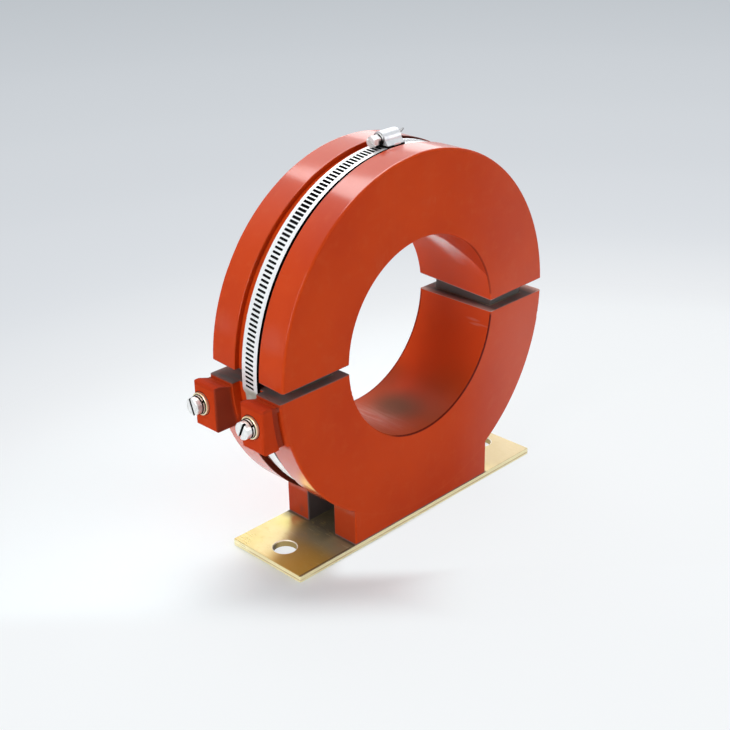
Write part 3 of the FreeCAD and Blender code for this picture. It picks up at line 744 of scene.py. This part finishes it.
def make_washer_gold():
    """Yellow-passivated washers, with black painted shade on the face that the spring washer covers."""
    material, place, x, y, z = start("gold_washer")
    clouds = grain(place, 220, 3)
    colour = tint(rise(clouds, 0.35, 0.7), WASHER_GOLD, WASHER_DEEP)
    colour = tint(rise(grain(place, 480, 2), 0.6, 0.8) * 0.5, colour, WASHER_DULL)
    under = rise(from_terminals(y, z), 0.0059, 0.0056) * rise(x, FLAT_X + 0.0002, FLAT_X)
    finish = {"base_color": colour, "roughness": 0.28 + 0.15 * clouds, "metallic": 0.75}
    close(place, clouds, 0.000015, under, **finish)
    return material


# The core and what the resin hides

CORE_DARK = (0.078, 0.072, 0.070)
CORE_GREY = (0.150, 0.136, 0.130)
CORE_RUST = (0.13, 0.075, 0.045)
STRIP_RINGS = 18000
TAPE_BROWN = (0.16, 0.11, 0.07)
TAPE_PALE = (0.23, 0.17, 0.11)
TAPE_DIRT = (0.09, 0.055, 0.035)
TAPE_WEAVE = 5200
COPPER_DARK = (0.20, 0.050, 0.015)
COPPER = (0.52, 0.19, 0.07)
COPPER_VARNISH = (0.34, 0.10, 0.03)
COPPER_TURNS = 6000
BRASS = (0.76, 0.56, 0.24)
BRASS_DEEP = (0.62, 0.42, 0.16)
SLEEVE_DARK = (0.035, 0.035, 0.04)
SLEEVE = (0.06, 0.06, 0.07)
SLEEVE_RIBS = 5000


def make_core_edges():
    """The edges of the wound strip: fine rings about the bore axis, dull and a little rusty."""
    material, place, x, y, z = start("core_steel")
    wave = (length_of(x, z - AXIS_Z) * STRIP_RINGS).math("SINE")
    clouds = grain(place, 90, 3)
    colour = tint(rise(wave, -0.6, 0.6), CORE_DARK, CORE_GREY)
    colour = tint(rise(clouds, 0.5, 0.75) * 0.5, colour, CORE_RUST)
    finish = {"base_color": colour, "roughness": 0.5 + 0.2 * clouds, "metallic": 0.3}
    close(place, wave * 0.5 + clouds, 0.00003, **finish)
    return material


def make_tape():
    """Varnished insulating tape, browned with dirt in patches."""
    material, place, x, y, z = start("tape_wrap")
    weave = (y * TAPE_WEAVE).math("SINE") * 0.5 + (z * TAPE_WEAVE).math("SINE") * 0.5
    colour = tint(rise(weave, -0.5, 0.5), TAPE_BROWN, TAPE_PALE)
    colour = tint(rise(grain(place, 60, 3), 0.45, 0.7) * 0.5, colour, TAPE_DIRT)
    close(place, weave, 0.00005, base_color=colour, roughness=0.75 + 0.1 * weave)
    return material


def make_copper():
    """Enamelled wire in turns across the winding."""
    material, place, x, y, z = start("enamelled_copper")
    turns = (y * COPPER_TURNS).math("SINE")
    colour = tint(rise(turns, -0.7, 0.7), COPPER_DARK, COPPER)
    colour = tint(rise(grain(place, 80, 3), 0.5, 0.75) * 0.4, colour, COPPER_VARNISH)
    close(place, turns, 0.0001, base_color=colour, roughness=0.3 + 0.1 * turns, metallic=0.6)
    return material


def make_brass():
    """Turned brass of the threaded inserts."""
    material, place, x, y, z = start("insert_brass")
    clouds = grain(place, 200, 3)
    colour = tint(rise(clouds, 0.35, 0.7), BRASS, BRASS_DEEP)
    close(place, clouds, 0.00002, base_color=colour, roughness=0.3 + 0.15 * clouds, metallic=1.0)
    return material


def make_sleeve():
    """A ribbed black sleeve over the winding's leads."""
    material, place, x, y, z = start("lead_sleeve")
    ribs = (x * SLEEVE_RIBS).math("SINE")
    colour = tint(rise(ribs, -0.5, 0.5), SLEEVE_DARK, SLEEVE)
    close(place, ribs, 0.00003, base_color=colour, roughness=0.5 + 0.1 * ribs)
    return material


# Each node's finish

finishes = {
    "cast_resin": make_resin(),
    "yellow_zinc": make_plated_steel(),
    "stainless_band": make_band_steel(),
    "zinc_screw": make_zinc(),
    "gold_washer": make_washer_gold(),
    "core_steel": make_core_edges(),
    "tape_wrap": make_tape(),
    "enamelled_copper": make_copper(),
    "insert_brass": make_brass(),
    "lead_sleeve": make_sleeve(),
}
pressed_steel = make_pressed_steel()


def dress_nodes():
    """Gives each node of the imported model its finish."""
    slots = {part["node"]: part["material_slot"] for part in frame["record"]["subparts"]}
    for name, node in frame["nodes"].items():
        node.data.materials.clear()
        pressed = name in ("worm_housing", "housing_saddle")
        node.data.materials.append(pressed_steel if pressed else finishes[slots[name]])


dress_nodes()

# The tongue at the far end of the clamp housing

TONGUE_LINE = [(0.0063, 0.2273), (0.0071, 0.2288), (0.0086, 0.2302), (0.0107, 0.2314), (0.0131, 0.2324)]
TONGUE_HALF_WIDTHS = [0.0013, 0.0012, 0.0011, 0.0010, 0.0006]
TONGUE_THICKNESS = 0.0007


def make_tongue():
    """A narrow tongue of the pressed strip that leaves the far lip below the pivot and curves up."""
    mesh = bmesh.new()
    rows = []
    for i, ((x, z), half) in enumerate(zip(TONGUE_LINE, TONGUE_HALF_WIDTHS)):
        before = TONGUE_LINE[max(i - 1, 0)]
        after = TONGUE_LINE[min(i + 1, len(TONGUE_LINE) - 1)]
        along = Vector((after[0] - before[0], 0, after[1] - before[1])).normalized()
        lift = Vector((-along.z, 0, along.x)) * TONGUE_THICKNESS
        middle = Vector((x, BAND_Y, z))
        corners = [middle - Vector((0, half, 0)), middle + Vector((0, half, 0))]
        corners += [corners[1] + lift, corners[0] + lift]
        rows.append([mesh.verts.new(corner) for corner in corners])
    for row, following in zip(rows, rows[1:]):
        for i in range(4):
            j = (i + 1) % 4
            mesh.faces.new((row[i], row[j], following[j], following[i]))
    mesh.faces.new(rows[0])
    mesh.faces.new(rows[-1])
    bmesh.ops.recalc_face_normals(mesh, faces=mesh.faces)
    data = bpy.data.meshes.new("housing_tongue")
    mesh.to_mesh(data)
    mesh.free()
    tongue = bpy.data.objects.new("housing_tongue", data)
    bpy.context.scene.collection.objects.link(tongue)
    rounded = tongue.modifiers.new("rounded", "BEVEL")
    rounded.width = 0.0002
    rounded.segments = 3
    smoothed = tongue.modifiers.new("smoothed", "SUBSURF")
    smoothed.levels = 2
    smoothed.render_levels = 2
    data.materials.append(pressed_steel)
    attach(tongue, "root")


make_tongue()

# Floor, backdrop and light

FLOOR_HALF = 60.0
FLOOR_Z = -0.0001
FLOOR_CENTRE = (0.0, -0.2, 0.0)
FLOOR_REACH = 2.2
FLOOR_STOPS = [
    (0.30, (0.905, 0.925, 0.940)),
    (0.45, (0.857, 0.877, 0.898)),
    (0.62, (0.735, 0.763, 0.797)),
    (0.85, (0.670, 0.700, 0.737)),
    (1.15, (0.632, 0.664, 0.700)),
    (1.55, (0.585, 0.618, 0.654)),
    (2.20, (0.525, 0.560, 0.594)),
]
FLOOR_MATT = (0.905, 0.965, 0.985)
SKY = (0.74, 0.77, 0.80)
WORLD_LIGHT = 0.06
LAMP_AIM = (0, 0, 0.11)
LAMPS = {
    "left_softbox": ((-1.8, -0.15, 0.9), (1.2, 1.2), 23),
    "front_softbox": ((0.5, -1.8, 0.9), (1.2, 1.0), 11.4),
    "top_softbox": ((0.45, 0.55, 1.9), (1.6, 1.6), 32),
    "back_softbox": ((1.5, 1.5, 0.62), (2.4, 0.6), 9),
    "rear_softbox": ((1.5, 1.5, 1.55), (2.4, 1.0), 3),
    "right_softbox": ((1.6, -1.0, 0.5), (0.8, 0.8), 3.6),
}


def seen_directly(wire):
    """1 for camera, glossy and transmission rays, else 0."""
    kinds = ("Is Camera Ray", "Is Glossy Ray", "Is Transmission Ray")
    return sum((wire.node("LightPath", {}, {}, kind) for kind in kinds), 0.0).math("MINIMUM", 1.0)


def floor_glow(place, away):
    """Where the floor glows in its backdrop colour: far away, in front, at the right, under the holes and by
    the plate; near the object the glow is painted light over its shadow.
    """
    parts = place.node("SeparateXYZ", {}, {0: place})
    x, y = (Wire(parts.tree, parts.socket.node.outputs[axis]) for axis in ("X", "Y"))
    ahead = (x + y) * -0.7
    aside = (x - y) * 0.7
    far = rise(away, 0.28, 0.50)
    in_front = rise(ahead, 0.100, 0.135) * 0.9
    at_right = rise(aside, -0.015, 0.050) * 0.85
    under_holes = rise(length_of(abs(x) - HOLE_X, y), HOLE_R + 0.006, HOLE_R + 0.003) * 0.8
    by_plate = rise(y, 0.0005 - HALF_WIDTH, -0.0020 - HALF_WIDTH)
    by_plate = by_plate * rise(ahead, 0.096, 0.078) * rise(aside, -0.045, -0.025) * 0.9
    glow = far
    for region in (in_front, at_right, under_holes, by_plate):
        glow = glow.math("MAXIMUM", region)
    return glow * seen_directly(place)


def make_floor():
    """A pale floor that darkens with its distance, and that keeps the shadow near the plate."""
    material = bpy.data.materials.new("studio_floor")
    material.use_nodes = True
    material.node_tree.nodes.clear()
    wire = Wire(material.node_tree)
    place = wire.node("TexCoord", {}, {}, "Object")
    away = place.node("VectorMath", {"operation": "DISTANCE"}, {0: place, 1: FLOOR_CENTRE}, "Value")
    stops = [(reach / FLOOR_REACH, colour) for reach, colour in FLOOR_STOPS]
    colour = away.node("ValToRGB", {"stops": stops}, {"Fac": away / FLOOR_REACH})
    matt = place.node("BsdfDiffuse", {}, {"Color": rgba(FLOOR_MATT)})
    glow = place.node("Emission", {}, {"Color": colour, "Strength": 1.0})
    mixed = place.node("MixShader", {}, {0: floor_glow(place, away), 1: matt, 2: glow})
    place.node("OutputMaterial", {}, {"Surface": mixed})
    sides = [(-1, -1), (1, -1), (1, 1), (-1, 1)]
    corners = [(FLOOR_HALF * x, FLOOR_HALF * y, FLOOR_Z) for x, y in sides]
    mesh = bpy.data.meshes.new("studio_floor")
    mesh.from_pydata(corners, [], [(0, 1, 2, 3)])
    floor = bpy.data.objects.new("studio_floor", mesh)
    bpy.context.scene.collection.objects.link(floor)
    mesh.materials.append(material)


def make_world():
    """A weak even light, shown to the camera and to gloss as a pale sky over the floor's far colour."""
    world = bpy.data.worlds.new("studio")
    bpy.context.scene.world = world
    world.use_nodes = True
    world.node_tree.nodes.clear()
    wire = Wire(world.node_tree)
    soft = wire.node("Background", {}, {"Color": rgba(SKY), "Strength": WORLD_LIGHT})
    height = wire.node("SeparateXYZ", {}, {0: wire.node("TexCoord", {}, {}, "Generated")}, "Z")
    sky = tint(rise(height, 0.0, 0.5), FLOOR_STOPS[-1][1], SKY)
    shown = wire.node("Background", {}, {"Color": sky, "Strength": 1.0})
    mixed = wire.node("MixShader", {}, {0: seen_directly(wire), 1: soft, 2: shown})
    wire.node("OutputWorld", {}, {"Surface": mixed})


def make_lamp(name, place, size, power):
    """A soft rectangular lamp that faces the middle of the object."""
    data = bpy.data.lights.new(name, "AREA")
    data.shape = "RECTANGLE"
    data.size, data.size_y = size
    data.energy = power
    lamp = bpy.data.objects.new(name, data)
    lamp.location = place
    lamp.rotation_euler = (Vector(LAMP_AIM) - Vector(place)).to_track_quat("-Z", "Y").to_euler()
    lamp.visible_camera = False
    bpy.context.scene.collection.objects.link(lamp)


make_floor()
make_world()
for name, (place, size, power) in LAMPS.items():
    make_lamp(name, place, size, power)

bpy.context.scene.view_settings.view_transform = "Standard"
